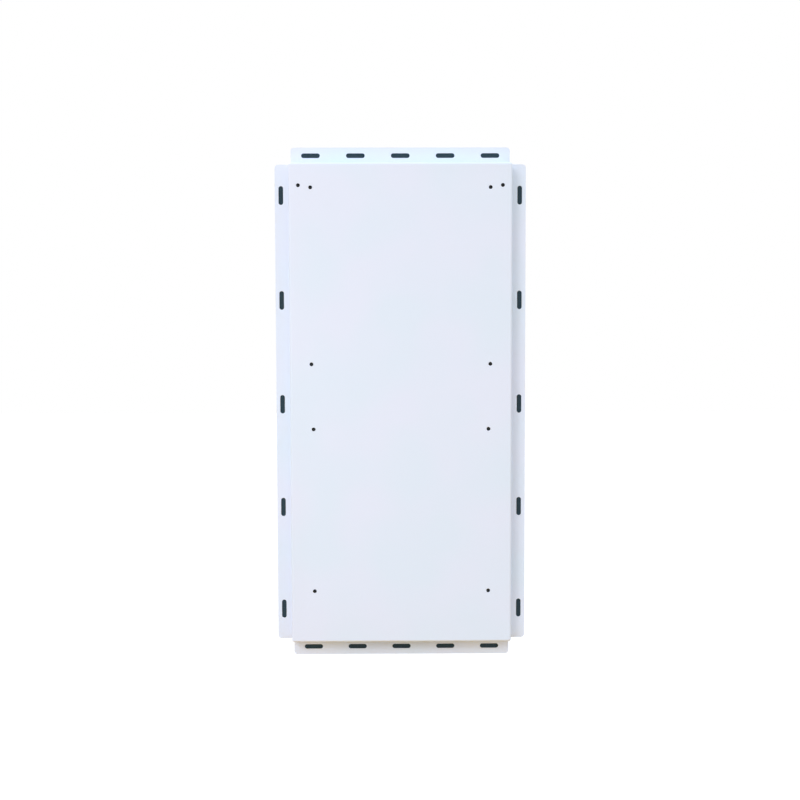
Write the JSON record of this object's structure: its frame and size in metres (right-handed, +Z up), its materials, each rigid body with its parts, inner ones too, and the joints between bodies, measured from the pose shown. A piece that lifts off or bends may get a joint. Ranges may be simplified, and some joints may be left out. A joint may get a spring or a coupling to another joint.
{
  "type": "wall battery unit",
  "caption": "Slim wall battery: a raised folded steel panel with slotted mounting flanges on all four sides, cell modules behind it and a recessed connector bay below.",
  "frame": {"origin": "centre of the wall-slot pattern, in the plane of the flanges' rear faces", "axes": "+Z up the long side, +X to the right for someone facing the panel, -Y out of the panel into the room"},
  "size_m": [0.427, 0.0315, 0.872],
  "materials": {
    "white_enamel": "satin powder coat",
    "gasket_rubber": "closed-cell, matt",
    "insulation_film": "matt film",
    "zinc_sheet": "galvanised",
    "zinc_fastener": "bright zinc",
    "black_oxide": "black oxide",
    "cell_foil": "laminated pouch foil",
    "pad_foam": "compression foam",
    "copper": "bright copper",
    "duct_plastic": "moulded grey",
    "spreader_aluminium": "mill finish",
    "spacer_brass": "turned",
    "board_laminate": "solder mask",
    "component_black": "moulded",
    "fuse_ceramic": "ceramic",
    "lead_red": "insulation",
    "lead_orange": "insulation",
    "lead_black": "insulation",
    "socket_orange": "moulded",
    "socket_black": "moulded",
    "contact_silver": "silver plated",
    "breaker_black": "moulded",
    "toggle_white": "moulded",
    "switch_steel": "satin stainless",
    "button_grey": "moulded",
    "lens_green": "translucent"
  },
  "bodies": {
    "chassis": {"front_pan": "white_enamel", "flange_left": "white_enamel", "flange_right": "white_enamel", "flange_top": "white_enamel", "connector_end": "white_enamel", "wall_gasket": "gasket_rubber", "clinch_nuts": "white_enamel", "front_insulation": "insulation_film", "rear_tabs": "zinc_sheet", "rear_plate": "zinc_sheet", "rear_screws": "zinc_fastener", "rear_insulation": "insulation_film", "tray_upper": "zinc_sheet", "tray_lower": "zinc_sheet", "cells_upper": "cell_foil", "cells_lower": "cell_foil", "pads_upper": "pad_foam", "pads_lower": "pad_foam", "cover_upper": "zinc_sheet", "cover_lower": "zinc_sheet", "busbars_upper": "copper", "busbars_lower": "copper", "cover_screws": "zinc_fastener", "nut_screws": "black_oxide", "duct_left": "duct_plastic", "duct_right": "duct_plastic", "duct_lids": "duct_plastic", "board_plate": "spreader_aluminium", "board_spacers": "spacer_brass", "board": "board_laminate", "board_screws": "zinc_fastener", "board_parts": "component_black", "main_fuse": "fuse_ceramic", "fuse_terminals": "copper", "relay": "component_black", "copper_bars": "copper", "lead_positive": "lead_red", "lead_link": "lead_orange", "lead_negative": "lead_black", "sense_lead_upper": "lead_black", "sense_lead_lower": "lead_black", "sense_plugs": "component_black", "bay_pocket": "white_enamel", "bay_plate": "white_enamel", "dc_socket_positive": "socket_orange", "dc_socket_negative": "socket_black", "dc_contacts": "contact_silver", "data_ports": "component_black", "bay_nuts": "zinc_fastener", "bay_screws": "zinc_fastener", "breaker_body": "breaker_black", "breaker_terminals": "copper", "switch_housing": "switch_steel", "status_lens": "lens_green", "earth_stud": "zinc_fastener"},
    "toggle": {"breaker_toggle": "toggle_white"},
    "button": {"power_button": "button_grey"}
  },
  "joints": [
    {"name": "breaker_toggle_swing", "type": "hinge", "parent": "chassis", "child": "toggle", "pos_m": [0.002, -0.0156, -0.3765], "axis": [0, 1, 0], "range_deg": [0, 36]},
    {"name": "power_button_press", "type": "slide", "parent": "chassis", "child": "button", "axis": [0, 0, 1], "range_m": [0, 0.002], "stiffness_N_per_m": 500, "springref_m": -0.002}
  ]
}
